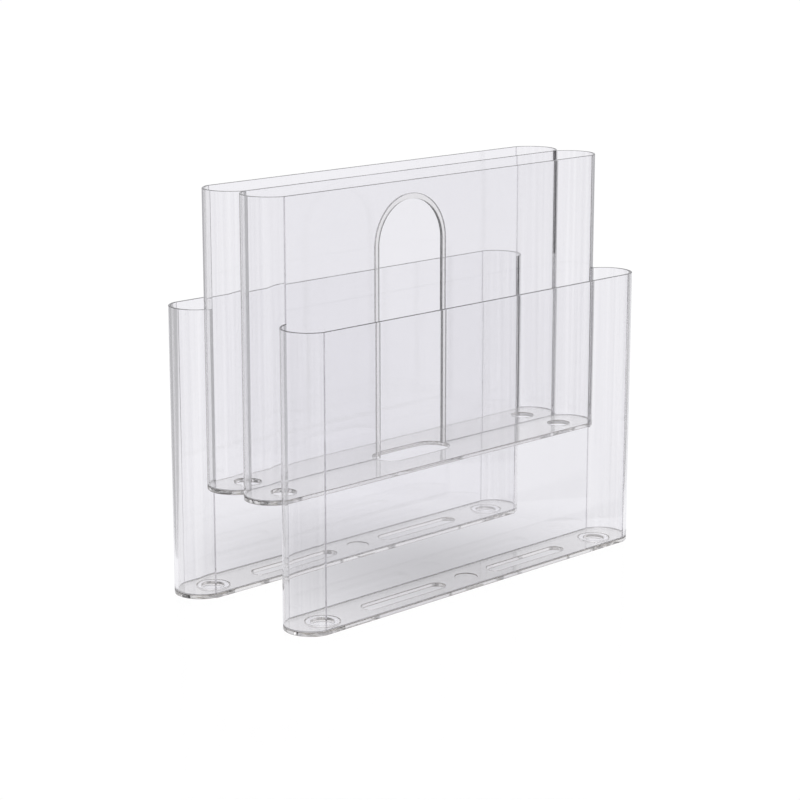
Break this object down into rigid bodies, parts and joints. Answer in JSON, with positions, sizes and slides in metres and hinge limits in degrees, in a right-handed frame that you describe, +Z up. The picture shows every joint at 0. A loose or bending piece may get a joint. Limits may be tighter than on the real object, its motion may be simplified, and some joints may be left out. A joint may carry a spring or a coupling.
{
  "type": "magazine rack",
  "caption": "Clear acrylic magazine rack: upright pockets side by side with rolled ends, the inner ones raised, and an arched carrying handle cut into the centre pane.",
  "frame": {"origin": "on the ground, under the middle of the rack", "axes": "+X along the pockets, +Y from the front pocket to the back one, +Z up"},
  "size_m": [0.4026, 0.18, 0.346],
  "materials": {
    "acrylic_pane": "water-clear polished acrylic sheet",
    "acrylic_end": "water-clear polished acrylic, rolled",
    "acrylic_floor": "water-clear polished acrylic plate",
    "acrylic_rim": "water-clear polished acrylic bead",
    "acrylic_ring": "water-clear turned acrylic"
  },
  "bodies": {
    "root": {"outer_wall_front": "acrylic_pane", "shared_wall_front": "acrylic_pane", "low_floor_front": "acrylic_floor", "low_end_front_left": "acrylic_end", "raised_end_front_left": "acrylic_end", "foot_ring_front_left": "acrylic_ring", "low_end_front_right": "acrylic_end", "raised_end_front_right": "acrylic_end", "foot_ring_front_right": "acrylic_ring", "outer_wall_back": "acrylic_pane", "shared_wall_back": "acrylic_pane", "low_floor_back": "acrylic_floor", "low_end_back_left": "acrylic_end", "raised_end_back_left": "acrylic_end", "foot_ring_back_left": "acrylic_ring", "low_end_back_right": "acrylic_end", "raised_end_back_right": "acrylic_end", "foot_ring_back_right": "acrylic_ring", "raised_floor": "acrylic_floor", "centre_wall": "acrylic_pane", "handle_rim": "acrylic_rim"}
  },
  "joints": []
}
